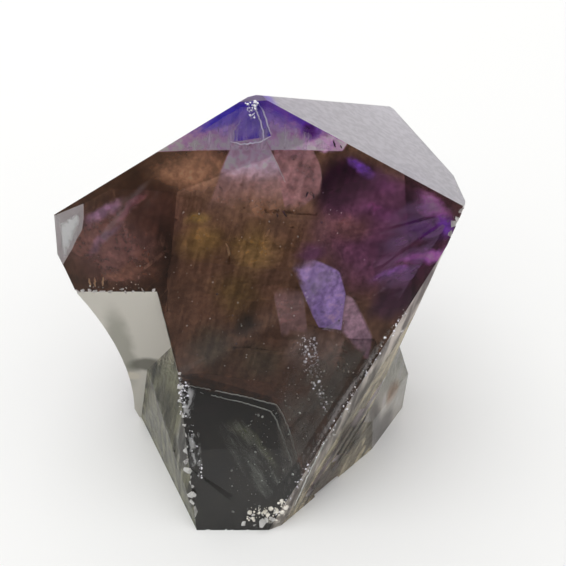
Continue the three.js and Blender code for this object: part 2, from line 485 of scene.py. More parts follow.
class Face(Enum):
    """The crystal's faces, each with the directions (azimuth, slope) that it looks in and its skin."""

    FRONT = (((-90, 62),), Skin(0.02, 0.0, 1.0, (1, 1, 1)))
    HEAD_RIGHT = (((22.9, 29.5),), Skin(0.3, 0.08, 0.5, (0.57, 0.55, 0.6), 0.0, 0.12))
    HEAD_BACK = (((136.8, 44), (112, 51.5), (-110, 8)), Skin(0.5, 0.08, 1.0, (0.95, 0.93, 0.97), 0.0, 0.15))
    LEFT_CORNER = (((180, 99.5), (180, 90)), Skin(0.45, 0.15, 1.0, (0.9, 0.9, 0.9), 0.05, 0.2))
    UNDER_LIP = (((-90, 95),), Skin(0.5, 0.0, 0.35, (0.78, 0.76, 0.67)))
    FLANK = (((188, 98.5), (188, 90.3)), Skin(0.3, 0.25, 0.6, (0.60, 0.63, 0.56), 0.1, 0.5))
    TOE = (((221, 64), (208, 82.3)), Skin(0.22, 0.3, 0.7, (0.25, 0.26, 0.16), 0.14, 0.9))
    FRONT_STRIP = (((-47.5, 91.6),), Skin(0.25, 0.4, 0.5, (0.40, 0.36, 0.24), 0.16, 0.65))
    EDGE_STRIP = (((-67.4, 75.9),), Skin(0.3, 0.3, 0.5, (0.46, 0.43, 0.38), 0.14, 0.7))
    RIGHT_WALLS = (((-20, 102.5), (0, 96), (20.8, 96)), Skin(0.35, 0.3, 0.8, (0.44, 0.38, 0.34), 0.14, 0.7))
    SIDE_CRYSTAL = (
        ((-35, 90), (25, 90), (85, 90), (145, 90), (222.5, 74.5), (-35, 77), (25, 74), (85, 70)),
        Skin(0.15, 0.15, 0.8, (0.95, 0.96, 0.82), 0.05, 0.35),
    )
    BACK = (((80, 118), (145, 100)), Skin(0.45, 0.35, 0.85, (0.68, 0.62, 0.70), 0.15, 0.5))
    BASE = (((0, 180),), Skin(0.4, 0.1, 0.4, (0.15, 0.14, 0.11)))
    BROKEN = ((), Skin(0.45, 0.3, 0.8, (0.62, 0.58, 0.60), 0.12, 0.5))
    CRUMB = ((), Skin(0.5, 0.3, 0.45, (0.82, 0.81, 0.79)))

    @property
    def skin(self) -> Skin:
        """The face's skin."""
        return self.value[1]


# How close a face looks to its named direction, and below what area it is a crumb, mm2
FACE_MATCH = math.cos(math.radians(0.7))
CRUMB_AREA = 0.35


def face_of(face: bmesh.types.BMFace) -> Face:
    """Tells which of the crystal's faces a mesh face belongs to, by its normal and its size."""
    for one in Face:
        if any(face.normal.dot(facing(*way)) > FACE_MATCH for way in one.value[0]):
            return one
    return Face.CRUMB if face.calc_area() * 1e6 < CRUMB_AREA else Face.BROKEN


def plain_solid() -> bmesh.types.BMesh:
    """The solid's own mesh, merged, with each flat face in one piece."""
    bm = bmesh.new()
    bm.from_mesh(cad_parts[NODE].data)
    bmesh.ops.remove_doubles(bm, verts=bm.verts, dist=MERGE / 1000)
    bmesh.ops.dissolve_limit(bm, angle_limit=math.radians(0.3), verts=bm.verts, edges=bm.edges)
    return bm


@dataclass
class CrystalBody:
    """The whole crystal: the solid's own shape, with finer relief on all but its smooth faces.

    The relief is cut in cells, mm. Edges that bend by more than the sharp angle aren't smoothed.
    """

    finish: CrystalFinish
    cell: float = 0.75
    sharp: float = math.radians(24)

    def build(self) -> bpy.types.Object:
        """Makes the crystal in place of the plain solid."""
        bm = plain_solid()
        names = list(Face)
        layer = bm.faces.layers.int.new("face")
        for face in bm.faces:
            face[layer] = names.index(face_of(face))
        self._cut_cells(bm, layer, names)
        bmesh.ops.triangulate(bm, faces=bm.faces)
        self._press_relief(bm, layer, names)
        for edge in bm.edges:
            edge.smooth = len(edge.link_faces) == 2 and edge.calc_face_angle() < self.sharp
        for face in bm.faces:
            face.smooth = True
        skins = [names[face[layer]].skin for face in bm.faces]
        bm.faces.layers.int.remove(layer)
        mesh = to_mesh(bm, "crystal")
        for name in ("roughness", "grain", "clear", "streak"):
            column = mesh.attributes.new(name, "FLOAT", "FACE")
            column.data.foreach_set("value", [getattr(skin, name) for skin in skins])
        wash = mesh.attributes.new("wash", "FLOAT_COLOR", "FACE")
        wash.data.foreach_set("color", [part for skin in skins for part in (*skin.wash, 1.0)])
        body = placed("amethyst_body", mesh, self.finish.material())
        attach(body, BODY)
        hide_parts(NODE)
        LOG.info("%s: %d triangles", body.name, len(mesh.polygons))
        return body

    def _cut_cells(self, bm: bmesh.types.BMesh, layer: object, names: Sequence[Face]) -> None:
        """Cuts the faces that have relief into small cells along the three axes."""
        rough = {index for index, name in enumerate(names) if name.skin.relief > 0}
        low, high = (corner * 1000 for corner in CAD_BOX)
        for axis in range(3):
            normal = Vector((0.0, 0.0, 0.0))
            normal[axis] = 1.0
            steps = int((high[axis] - low[axis]) / self.cell)
            for step in range(1, steps + 1):
                place = normal * (low[axis] + (step - 0.37) * self.cell) / 1000
                faces = [face for face in bm.faces if face[layer] in rough]
                edges = {edge for face in faces for edge in face.edges}
                verts = {vert for edge in edges for vert in edge.verts}
                bmesh.ops.bisect_plane(bm, geom=[*faces, *edges, *verts], plane_co=place, plane_no=normal)

    @staticmethod
    def _press_relief(bm: bmesh.types.BMesh, layer: object, names: Sequence[Face]) -> None:
        """Presses fine relief into the faces that have it, and leaves their borders in place."""
        bm.normal_update()
        moves = {}
        for vert in bm.verts:
            depth = min(names[face[layer]].skin.relief for face in vert.link_faces)
            if depth > 0:
                place = vert.co - GROWTH_RUN * vert.co.dot(GROWTH_RUN) * STRETCH
                pattern = 0.5 + 0.5 * noise.fractal(place * RELIEF_SCALE, 0.8, 2.1, 4)
                moves[vert] = vert.normal * -depth / 1000 * min(max(pattern, 0.0), 1.0)
        for vert, move in moves.items():
            vert.co += move


@dataclass
class Zone:
    """A colour zone inside the crystal, grown from a centre until it meets its own bounds.

    It ends at an ellipsoid that wavers by a share of its size, and at a margin under the crystal's
    surface, mm.
    """

    name: str
    centre: Triple
    radii: Triple
    inside: Absorption
    waver: float = 0.25
    margin: float = 0.35
    fineness: int = 5

    def build(self, crystal: BVHTree) -> bpy.types.Object:
        """Makes the zone.

        Args:
            crystal: The crystal's surface, for rays.

        Returns:
            The finished object.
        """
        centre = mm(*self.centre)
        bm = bmesh.new()
        bmesh.ops.create_icosphere(bm, subdivisions=self.fineness, radius=1.0)
        for vert in bm.verts:
            out = vert.co.normalized()
            vert.co = centre + out * self._reach(centre, out, crystal)
        for face in bm.faces:
            face.smooth = False
        mesh = to_mesh(bm, self.name)
        return keep(placed(self.name, mesh, ZoneFinish(self.name, self.inside).material()))

    def _reach(self, centre: Vector, out: Vector, crystal: BVHTree) -> float:
        """How far the zone reaches from its centre in a direction, in metres."""
        rx, ry, rz = self.radii
        reach = 1.0 / Vector((out.x / rx, out.y / ry, out.z / rz)).length / 1000
        reach *= 1.0 + self.waver * noise.fractal(out * 1.7 + Vector(self.centre), 1.0, 2.0, 3)
        hit, normal, _, distance = crystal.ray_cast(centre, out)
        if hit is not None:
            # A ray that only grazes the surface would need an endless margin, so that is limited
            reach = min(reach, distance - self.margin / 1000 / max(0.3, abs(normal.dot(out))))
        return max(reach, 0.0002)


@dataclass
class ColourLayer:
    """The tinted sheet behind the front face, a dish that starts at the face's border.

    The gap is how far behind the border it starts, the slope how steeply it then goes down to its
    depth, in cells of a size in mm.
    """

    finish: LayerFinish
    depth: float = 2.6
    slope: float = 0.8
    gap: float = 0.05
    cell: float = 0.7

    def build(self) -> bpy.types.Object:
        """Makes the layer."""
        bm = plain_solid()
        others = [face for face in bm.faces if face_of(face) is not Face.FRONT]
        bmesh.ops.delete(bm, geom=others, context="FACES")
        border = [tuple(vert.co.copy() for vert in edge.verts) for edge in bm.edges]
        for normal in (Vector((1.0, 0.0, 0.0)), UP_THE_FRONT):
            places = [vert.co.dot(normal) * 1000 for vert in bm.verts]
            cut_across(bm, normal, places, self.cell, 0.4, 1000)
        bmesh.ops.triangulate(bm, faces=bm.faces)
        for vert in bm.verts:
            away = min(self._distance(vert.co, *edge) for edge in border) * 1000
            vert.co += INTO_THE_FRONT * min(self.depth, self.gap + self.slope * away) / 1000
            vert.co.z = max(vert.co.z, 0.0)
        for face in bm.faces:
            face.smooth = True
        mesh = to_mesh(bm, "colour_and_shade_layer")
        return keep(placed("colour_and_shade_layer", mesh, self.finish.material()))

    @staticmethod
    def _distance(point: Vector, start: Vector, end: Vector) -> float:
        """How far a point is from a straight edge."""
        near, share = intersect_point_line(point, start, end)
        if share < 0.0 or share > 1.0:
            near = start if share < 0.0 else end
        return (point - near).length


@dataclass(frozen=True)
class Streaks:
    """How a veil's cloudiness runs: its direction, degrees from x, its fineness and its length.

    It is clear where the noise is below thin, and full where it is over full.
    """

    turn: float = 0.0
    per_mm: float = 0.8
    stretch: float = 4.0
    thin: float = 0.35
    full: float = 0.75


@dataclass(frozen=True)
class VeilFinish:
    """A cloudy veil of tiny bubbles: pale, partly see-through and streaked. The white one at the left corner
    is painted light, for the light that comes through that clear corner.
    """

    name: str
    colour: Colour
    cover: float
    streaks: Streaks = Streaks()

    def material(self) -> bpy.types.Material:
        """Makes the material, which reads the attribute fade of the sheet."""
        material, tree, principled, _ = new_material(self.name, {"Roughness": 0.6})
        flat = tree.on_front(tree.node("ShaderNodeTexCoord").outputs["Object"])
        run = self.streaks
        size = (run.stretch / run.per_mm, 1.0 / run.per_mm, 1000.0)
        place = tree.fitted(flat, (0.0, 0.0, 0.0), size, run.turn)
        inputs = {"Vector": place, "Scale": 1.0, "Detail": 7.0}
        cloud = tree.node("ShaderNodeTexNoise", inputs).outputs["Fac"]
        cover = tree.math("MULTIPLY", tree.ramp(cloud, run.thin, run.full), attribute(tree, "fade"))
        cover = tree.math("MULTIPLY", cover, self.cover)
        material.node_tree.links.new(cover, principled.inputs["Alpha"])
        # Where the cloud is thin it is a quarter darker
        dim = tuple(part * 0.75 for part in self.colour)
        shade = tree.mix(cloud, dim, self.colour)
        material.node_tree.links.new(shade, principled.inputs["Base Color"])
        return material


@dataclass(frozen=True)
class GrainFinish:
    """Small solid bits of two mixed shades."""

    name: str
    pale: Colour
    dark: Colour
    roughness: float = 0.35
    cover: float = 1.0

    def material(self) -> bpy.types.Material:
        """Makes the material."""
        values = {"Roughness": self.roughness, "Alpha": self.cover}
        material, tree, principled, _ = new_material(self.name, values)
        where = tree.node("ShaderNodeTexCoord").outputs["Object"]
        share = tree.ramp(tree.noise(where, 1.1, 3.0).outputs["Fac"], 0.35, 0.65)
        shade = tree.mix(share, self.dark, self.pale)
        material.node_tree.links.new(shade, principled.inputs["Base Color"])
        return material


def keep(piece: bpy.types.Object) -> bpy.types.Object:
    """Fixes a finished inner piece to the crystal and logs it."""
    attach(piece, BODY)
    LOG.info("%s: %d triangles", piece.name, sum(len(face.vertices) - 2 for face in piece.data.polygons))
    return piece


@dataclass(frozen=True)
class Sheet:
    """A thin sheet behind the front face, drawn by its outline on that face.

    The dip is how much deeper it lies for each mm across and up from its middle, the ripple how far it
    waves and the cell how finely it is cut, mm.
    """

    corners: Sequence[Pair]
    depth: float = 1.5
    dip: Pair = (0.0, 0.0)
    ripple: float = 0.25
    cell: float = 0.5

    def mesh(self, name: str, soft: Optional[Sequence[float]] = None) -> bpy.types.Mesh:
        """Makes the sheet's mesh.

        Args:
            name: The mesh's name.
            soft: How wide each side fades, mm, for the attribute fade. None fades nothing.

        Returns:
            The mesh, in small cells.
        """
        bm = bmesh.new()
        bm.faces.new([bm.verts.new((x, up, 0.0)) for x, up in self.corners])
        for axis, places in enumerate(zip(*self.corners)):
            cut_across(bm, Vector((1.0 - axis, float(axis), 0.0)), places, self.cell, 0.3)
        bmesh.ops.triangulate(bm, faces=bm.faces)
        outline = sides(self.corners)
        widths = soft or (0.0,) * len(outline)
        fades = []
        for vert in bm.verts:
            fade = 1.0
            for (inward, away), width in zip(outline, widths):
                if width:
                    fade *= min(max((vert.co.dot(inward) - away) / width, 0.0), 1.0)
            fades.append(fade)
        middle = [sum(places) / len(places) for places in zip(*self.corners)]
        for vert in bm.verts:
            x, up, _ = vert.co
            depth = self.depth + self.dip[0] * (x - middle[0]) + self.dip[1] * (up - middle[1])
            depth += self.ripple * noise.fractal(vert.co * 0.35, 1.0, 2.0, 3)
            vert.co = behind_front(x, up, max(depth, 0.0))
        mesh = to_mesh(bm, name)
        column = mesh.attributes.new("fade", "FLOAT", "POINT")
        column.data.foreach_set("value", fades)
        return mesh


@dataclass
class Veil:
    """A cloudy veil inside the crystal. The white one at the left corner is painted light."""

    name: str
    sheet: Sheet
    soft: Sequence[float]
    finish: VeilFinish

    def build(self) -> bpy.types.Object:
        """Makes the veil."""
        mesh = self.sheet.mesh(self.name, self.soft)
        for face in mesh.polygons:
            face.use_smooth = True
        return keep(placed(self.name, mesh, self.finish.material()))


class ShapeTree(Tree):
    """A geometry node tree with named sizes: a carrier comes in, a realized shape goes out."""

    def __init__(self, name: str, sizes: dict[str, float]) -> None:
        """Starts the tree.

        Args:
            name: The tree's name.
            sizes: The named inputs and their values. A whole number makes a whole-number input.
        """
        super().__init__(bpy.data.node_groups.new(name, "GeometryNodeTree"))
        sockets = self.tree.interface
        sockets.new_socket("Geometry", in_out="INPUT", socket_type="NodeSocketGeometry")
        self.values = {}
        for label, value in sizes.items():
            kind = "NodeSocketInt" if isinstance(value, int) else "NodeSocketFloat"
            socket = sockets.new_socket(label, in_out="INPUT", socket_type=kind)
            self.values[socket.identifier] = value
        sockets.new_socket("Geometry", in_out="OUTPUT", socket_type="NodeSocketGeometry")
        self.given = self.node("NodeGroupInput").outputs

    def random(self, low: object, high: object, salt: int) -> Socket:
        """A random vector for each element, seeded by the input Seed and a salt."""
        seed = self.math("ADD", self.given["Seed"], float(salt))
        inputs = {0: low, 1: high, "Seed": seed}
        return self.node("FunctionNodeRandomValue", inputs, data_type="FLOAT_VECTOR").outputs[0]

    def end(self, geometry: Socket, material: bpy.types.Material) -> None:
        """Realizes the instances, sets the material and closes the tree."""
        realized = self.node("GeometryNodeRealizeInstances", {"Geometry": geometry}).outputs[0]
        inputs = {"Geometry": realized, "Material": material}
        dressed = self.node("GeometryNodeSetMaterial", inputs).outputs[0]
        self.node("NodeGroupOutput", {"Geometry": dressed})

    def grow(self, name: str, carrier: bpy.types.Mesh) -> bpy.types.Object:
        """Runs the tree on a carrier and keeps what it makes as a plain mesh."""
        grown = bpy.data.objects.new(name, carrier)
        bpy.context.scene.collection.objects.link(grown)
        modifier = grown.modifiers.new(name, "NODES")
        modifier.node_group = self.tree
        for identifier, value in self.values.items():
            modifier[identifier] = value
        evaluated = grown.evaluated_get(bpy.context.evaluated_depsgraph_get())
        mesh = bpy.data.meshes.new_from_object(evaluated)
        grown.modifiers.remove(modifier)
        grown.data = mesh
        return grown


# How far apart a thread's points are, m, and how many sides it has
THREAD_STEP = 0.00025
THREAD_SIDES = 5


@dataclass
class Threads:
    """Thin lines behind the front face, such as a crack's edge. Points are x, up and depth, mm."""

    name: str
    lines: Sequence[Sequence[Triple]]
    width: float
    finish: GrainFinish
    wobble: float = 0.06
    smooth: bool = True

    def build(self) -> bpy.types.Object:
        """Makes the lines as tubes that taper at both ends."""
        bm = bmesh.new()
        for line in self.lines:
            verts = [bm.verts.new(behind_front(*point)) for point in line]
            for pair in zip(verts, verts[1:]):
                bm.edges.new(pair)
        carrier = to_mesh(bm, self.name)
        sizes = {"Width": self.width / 1000, "Wobble": self.wobble / 1000, "Step": THREAD_STEP, "Seed": 7}
        tree = ShapeTree(self.name, sizes)
        curve = tree.node("GeometryNodeMeshToCurve", {"Mesh": tree.given["Geometry"]}).outputs[0]
        if self.smooth:
            inputs = {"Curve": curve}
            curve = tree.node("GeometryNodeCurveSplineType", inputs, spline_type="CATMULL_ROM").outputs[0]
        inputs = {"Curve": curve, "Length": tree.given["Step"]}
        curve = tree.node("GeometryNodeResampleCurve", inputs, mode="LENGTH").outputs[0]
        wobble = tree.scaled(tree.random((-1.0,) * 3, (1.0,) * 3, 1), tree.given["Wobble"])
        inputs = {"Geometry": curve, "Offset": wobble}
        curve = tree.node("GeometryNodeSetPosition", inputs).outputs[0]
        along = tree.node("GeometryNodeSplineParameter").outputs["Factor"]
        # Nearly the half turn from one end to the other, so the ends keep some width
        full = tree.math("SQRT", tree.math("SINE", tree.math("MULTIPLY_ADD", along, 2.8, 0.17)))
        radius = tree.math("MULTIPLY", tree.math("MULTIPLY", full, tree.given["Width"]), 0.5)
        profile = tree.node("GeometryNodeCurvePrimitiveCircle", {"Resolution": THREAD_SIDES, "Radius": 1.0})
        inputs = {"Curve": curve, "Profile Curve": profile.outputs[0], "Scale": radius, "Fill Caps": True}
        tree.end(tree.node("GeometryNodeCurveToMesh", inputs).outputs[0], self.finish.material())
        return keep(tree.grow(self.name, carrier))


@dataclass
class Specks:
    """A cloud of tiny bits on a sheet behind the front face.

    The size is the largest bit's width and the spread how far bits stray from the sheet, mm. The smaller
    flat is, the flatter some of them are.
    """

    name: str
    sheet: Sheet
    per_mm2: float
    size: float
    spread: float
    finish: GrainFinish
    seed: int
    flat: float = 0.6

    def build(self) -> bpy.types.Object:
        """Scatters the bits, most of them small and a few large."""
        sizes = {
            "Density": self.per_mm2 * 1e6,
            "Size": self.size / 1000,
            "Spread": self.spread / 1000,
            "Seed": self.seed,
        }
        tree = ShapeTree(self.name, sizes)
        given = tree.given
        inputs = {"Mesh": given["Geometry"], "Density": given["Density"], "Seed": given["Seed"]}
        points = tree.node("GeometryNodeDistributePointsOnFaces", inputs).outputs[0]
        shift = tree.scaled(tree.random((-1.0,) * 3, (1.0,) * 3, 1), tree.given["Spread"])
        points = tree.node("GeometryNodeSetPosition", {"Geometry": points, "Offset": shift}).outputs[0]
        luck = tree.random((0.0,) * 3, (1.0,) * 3, 2)
        lucky = tree.math("POWER", tree.dot(luck, Vector((1.0, 0.0, 0.0))), 3.0)
        # A bit's radius is a tenth of the size for most and half of it for the largest
        few = tree.math("MULTIPLY_ADD", lucky, 0.4, 0.1)
        shape = tree.random((self.flat, self.flat, self.flat), (1.0, 1.0, 1.0), 3)
        scale = tree.scaled(shape, tree.math("MULTIPLY", few, tree.given["Size"]))
        bit = tree.node("GeometryNodeMeshIcoSphere", {"Radius": 1.0, "Subdivisions": 1}).outputs[0]
        inputs = {
            "Points": points,
            "Instance": bit,
            "Rotation": tree.random((0.0,) * 3, (math.tau,) * 3, 4),
            "Scale": scale,
        }
        instances = tree.node("GeometryNodeInstanceOnPoints", inputs).outputs[0]
        tree.end(instances, self.finish.material())
        return keep(tree.grow(self.name, self.sheet.mesh(self.name)))


# The way to the sky's white part, how bright it is low down, and the dark card and the way to it
SKY_WAY = Vector((0.0, 0.25, 1.0))
LOW_SKY = (0.62, 0.62, 0.62)
CARD = (0.12, 0.12, 0.12)
CARD_WAY = Vector((0.0, -0.914, 0.407))


@dataclass
class Studio:
    """The plain pale floor, the soft light round the crystal and the camera.

    Sizes and places are in mm, but those of the light in metres.
    """

    camera_at: Triple = (2.0, -76.65, 111.05)
    look_down: float = 45.0
    lens: float = 50.9
    sensor: float = 36.0
    floor_gap: float = 0.02
    floor_radius: float = 900.0
    light_at: Triple = (-0.18, 0.3, 0.88)
    light_size: float = 0.9
    light_watts: float = 3.0

    def build(self) -> None:
        """Makes the camera, the floor and the lights."""
        self._camera()
        self._floor()
        self._world()
        self._lights()

    def _camera(self) -> None:
        """The camera, at the photograph's viewing angle."""
        data = bpy.data.cameras.new("camera")
        data.lens = self.lens
        data.sensor_width = self.sensor
        data.clip_start, data.clip_end = 0.001, 20.0
        camera = bpy.data.objects.new("camera", data)
        camera.location = mm(*self.camera_at)
        camera.rotation_euler = (math.radians(90 - self.look_down), 0.0, 0.0)
        bpy.context.scene.collection.objects.link(camera)
        bpy.context.scene.camera = camera

    def _floor(self) -> None:
        """A plain pale round floor."""
        bm = bmesh.new()
        bmesh.ops.create_circle(bm, cap_ends=True, segments=96, radius=self.floor_radius / 1000)
        bmesh.ops.translate(bm, verts=bm.verts, vec=mm(0, 0, -self.floor_gap))
        mesh = to_mesh(bm, "floor")
        values = {"Base Color": (0.86, 0.86, 0.85, 1.0), "Roughness": 0.9, "Specular IOR Level": 0.1}
        placed("floor", mesh, new_material("pale_floor", values)[0])

    @staticmethod
    def _world() -> None:
        """Soft white light from all round, weaker low down, and a dark card for the front face to mirror."""
        world = bpy.data.worlds.new("soft_studio")
        world.use_nodes = True
        bpy.context.scene.world = world
        tree = Tree(world.node_tree)
        background = world.node_tree.nodes["Background"]
        toward = tree.node("ShaderNodeTexCoord").outputs["Generated"]
        up = tree.ramp(tree.dot(toward, SKY_WAY), -0.2, 0.9)
        shade = tree.mix(up, LOW_SKY, (1.0, 1.0, 1.0))
        card = tree.ramp(tree.dot(toward, CARD_WAY), 0.90, 0.985)
        shade = tree.mix(card, shade, CARD)
        world.node_tree.links.new(shade, background.inputs["Color"])
        background.inputs["Strength"].default_value = 1.0

    def _lights(self) -> None:
        """One large soft light from above and behind, to the left."""
        data = bpy.data.lights.new("soft_box", "AREA")
        data.shape = "DISK"
        data.size = self.light_size
        data.energy = self.light_watts
        light = bpy.data.objects.new("soft_box", data)
        light.location = self.light_at
        aim = mm(0, 5, 20) - light.location
        light.rotation_euler = aim.to_track_quat("-Z", "Y").to_euler()
        bpy.context.scene.collection.objects.link(light)


def crystal_surface() -> BVHTree:
    """The plain solid's surface, for rays from inside it."""
    bm = bmesh.new()
    bm.from_mesh(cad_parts[NODE].data)
    tree = BVHTree.FromBMesh(bm)
    bm.free()
    return tree


LILAC_BAND = (
    Facet(((-16, 56.5), (9.7, 56.5), (10.5, 58), (-2, 68)), (1.0, 0.74, 1.0), (0.15, 0.3, 0.3, 0.3)),
    Patch((-5.2, 61.0), (7.0, 2.8), (0.22, 0.17, 0.82), turn=26, edge=0.75),
    Patch((3.0, 61.1), (6.6, 2.7), (0.42, 0.24, 1.0), turn=-27, edge=0.75),
    Facet(((-4.7, 57.5), (0.4, 58.3), (-1.4, 64), (-2.6, 64)), (0.37, 0.27, 1.0), (0.2, 0.2, 0.3, 1.0)),
    Patch((5.2, 59.2), (1.8, 1.7), (0.26, 0.07, 0.42)),
    Patch((8.0, 59.3), (3.5, 0.8), (0.30, 0.14, 0.50), turn=-30),
    Patch((8.0, 57.3), (1.9, 1.2), (0.85, 0.60, 0.95)),
)
UPPER_FRONT = (
    Patch((-9.5, 53.8), (8, 4), (0.70, 0.48, 0.33)),
    Patch((-1, 50), (10, 6), (0.38, 0.25, 0.165)),
    Facet(((-7.4, 50.5), (3.2, 50.5), (-0.1, 57.6), (-4.6, 57.4)), (0.50, 0.35, 0.33), (4, 0.2, 0.2, 0.4)),
    Patch((11, 51.6), (6.5, 5.6), (0.05, 0.008, 0.035), turn=-20, edge=0.5),
    Facet(
        ((2.2, 49.0), (5.2, 49.4), (6.9, 50.7), (7.2, 53), (6.8, 54.8), (5.9, 56.5), (0.7, 56.5)),
        (0.50, 0.32, 0.32),
        (2.0, 0.5, 0.4, 0.3, 0.3, 0.2, 0.2),
    ),
    Facet(((-6.4, 53.4), (1.9, 53.4), (-0.1, 57.5), (-4.6, 57.3)), (0.80, 0.66, 0.74), (2.6, 0.2, 0.2, 0.4)),
    Patch((12.2, 54.3), (2.8, 1.0), (0.27, 0.11, 0.55), turn=-38),
    Patch((16.5, 51.5), (4.5, 2.0), (0.32, 0.13, 0.30), turn=-33),
)
RIGHT_FRONT = (
    Patch((17, 45), (14, 11), (0.28, 0.14, 0.21), edge=0.6),
    Patch((10.9, 46.1), (4.4, 2.8), (0.36, 0.21, 0.19)),
    Patch((15.0, 48.3), (3.5, 1.6), (0.36, 0.16, 0.30), turn=-20),
    Patch((22.0, 49.2), (3.6, 1.6), (0.85, 0.50, 0.88), turn=-32),
    Patch((20.5, 46.4), (3.4, 2.4), (0.36, 0.13, 0.50)),
    Patch((23.8, 46.6), (2.0, 2.0), (0.50, 0.25, 0.75)),
    Patch((21.5, 42.8), (5.5, 1.4), (0.80, 0.46, 0.88), turn=12),
    Patch((17.0, 39.8), (4.0, 1.0), (0.42, 0.26, 0.52), turn=14),
    Patch((17.6, 36.0), (5.5, 3.0), (0.12, 0.06, 0.09), turn=35, edge=0.6),
    Patch((5.6, 42.7), (3.0, 2.2), (0.22, 0.10, 0.19)),
)
LEFT_FRONT = (
    Patch((-21, 44), (9, 7), (0.50, 0.33, 0.30)),
    Patch((-15, 47.5), (5, 5.5), (0.26, 0.15, 0.11)),
    Patch((-22.0, 48.6), (4.2, 1.2), (0.66, 0.47, 0.62), turn=33),
    Patch((-18.6, 49.0), (4.4, 0.8), (0.56, 0.33, 0.36), turn=40),
    Patch((-22.2, 44.8), (4.5, 0.8), (0.50, 0.36, 0.42), turn=45),
    Patch((-13.4, 43), (3.0, 6.5), (0.13, 0.075, 0.047)),
    Patch((-20, 39.6), (6, 1.3), (0.52, 0.34, 0.27)),
    Facet(((-28.5, 40.0), (-24.9, 46.0), (-24.4, 49.6), (-28.5, 48)), (1.0, 1.0, 1.0), (0.2, 0.2, 0.1, 0.1)),
)
MIDDLE_FRONT = (
    Patch((-9.3, 44), (4.5, 3.6), (0.35, 0.24, 0.095)),
    Patch((-9.8, 47.6), (2.2, 1.6), (0.42, 0.31, 0.12)),
    Patch((-1.8, 43), (5, 4.4), (0.34, 0.24, 0.10)),
    Patch((-4.5, 36.8), (5, 5), (0.24, 0.165, 0.07)),
    Patch((-3.5, 32.4), (2.4, 2.3), (0.05, 0.032, 0.015), strength=0.85),
    Patch((-8, 29), (4.5, 5), (0.19, 0.155, 0.10)),
    Patch((-1, 27), (5, 4), (0.21, 0.17, 0.11)),
    Patch((5.2, 28.5), (4.0, 4.5), (0.38, 0.31, 0.27)),
    Patch((9.5, 27.5), (4.0, 5.5), (0.40, 0.31, 0.26)),
    Facet(
        ((7.0, 32.0), (10.2, 31.3), (10.5, 34.5), (10.6, 37.0), (9.8, 39.9), (7.3, 41.3), (4.0, 40.7),
         (4.6, 37.2)),
        (0.54, 0.43, 0.74),
        (0.2, 0.3, 0.3, 0.3, 0.4, 2.5, 1.5, 0.2),
    ),
    Facet(
        ((11.6, 29.6), (14.0, 27.6), (14.4, 30.8), (11.6, 36.4), (10.6, 37.0), (10.3, 33.0)),
        (0.56, 0.42, 0.50),
        (1.4, 0.5, 0.6, 0.3, 0.3, 0.8),
    ),
    Facet(((1.8, 31.0), (5.4, 31.6), (4.8, 36.9), (0.7, 36.4)), (0.38, 0.265, 0.25), (0.8, 0.3, 2.0, 0.3)),
)
# Painted shade and reflection at the foot of the front face: the shaded base as the face mirrors it from
# inside, near black with paler streaks
FOOT_PAINTED_REFLECTION = (
    Facet(
        ((-12.5, -2), (3, -2), (4.9, 8.3), (2.2, 17.2), (0.9, 19.9), (-4, 21.4), (-12.5, 23.8)),
        (0.085, 0.085, 0.066),
        (0.1, 0.6, 0.5, 0.5, 0.5, 0.5, 0.3),
    ),
    Patch((-8.3, 20), (3, 2.2), (0.10, 0.09, 0.085)),
    Patch((-4, 15.4), (3.2, 1.4), (0.26, 0.29, 0.22), turn=-55),
    Patch((-1, 12.5), (6, 0.9), (0.28, 0.32, 0.23), turn=-58),
    Patch((-7.5, 10), (2.5, 3.5), (0.035, 0.032, 0.024)),
    Patch((0.2, 7), (2, 2.4), (0.06, 0.06, 0.045)),
    Patch((-4.4, 4.6), (3, 1.4), (0.08, 0.08, 0.056)),
)
STAINS_AND_SHADE = (
    StainAndShade((-1.5, 12.5, 55.4), (4.5, 3, 1.6), (0.22, 0.12, 0.66), 0.9),
    StainAndShade((12.3, -8.4, 9.0), (4.5, 4.5, 8), (0.045, 0.036, 0.012), 0.9),
    # Painted shade: the dark wedge in the groove between the right wall and the side crystal
    StainAndShade((16.2, -4.4, 7.5), (2.2, 3.2, 9), (0.025, 0.021, 0.008), 0.85),
    # Painted shade, in this line and the next: the right walls darker low down, by the floor
    StainAndShade((8.3, -11.3, 2.5), (5.5, 5.5, 5.5), (0.025, 0.017, 0.008), 0.9),
    StainAndShade((18.5, -1.2, 2.6), (5.5, 5.5, 5.0), (0.03, 0.02, 0.007), 0.95),
    StainAndShade((19.5, 0.6, 9.0), (2.6, 2.6, 3.0), (0.50, 0.22, 0.05), 0.8),
    StainAndShade((-22.0, 1.0, 20), (2.6, 3, 14), (0.24, 0.25, 0.19), 0.6),
    StainAndShade((-18.6, 1.1, 15.6), (4.5, 3, 2.2), (0.07, 0.075, 0.045), 0.8),
    StainAndShade((-21.2, 1.4, 12.6), (1.6, 2, 1.6), (0.85, 0.80, 0.66), 0.8),
    StainAndShade((-15.0, -4.5, 13), (3, 3, 2.5), (0.10, 0.105, 0.06), 0.7),
    StainAndShade((-12.8, -8.5, 9), (1.8, 4.5, 8), (0.60, 0.62, 0.57), 0.8),
    StainAndShade((22, 3, 50), (5, 6, 4), (0.62, 0.56, 0.68), 0.5),
    StainAndShade((5, 8, 55), (6, 5, 3), (0.46, 0.42, 0.56), 0.5),
)
CRYSTAL = CrystalFinish(bulk=Absorption((0.625, 0.50, 0.50), 40.0), stains_and_shade=STAINS_AND_SHADE)
LAYER = LayerFinish(
    ground=(0.23, 0.14, 0.085),
    patches=(*LILAC_BAND, *UPPER_FRONT, *RIGHT_FRONT, *LEFT_FRONT, *MIDDLE_FRONT, *FOOT_PAINTED_REFLECTION),
)

ZONES = (
    Zone("violet_tip", (-2, 14, 51.5), (12, 6, 6), Absorption((0.55, 0.40, 0.9), 40.0)),
    Zone("violet_side", (16, 8, 36), (8, 7, 10), Absorption((0.55, 0.30, 0.65), 60.0)),
)

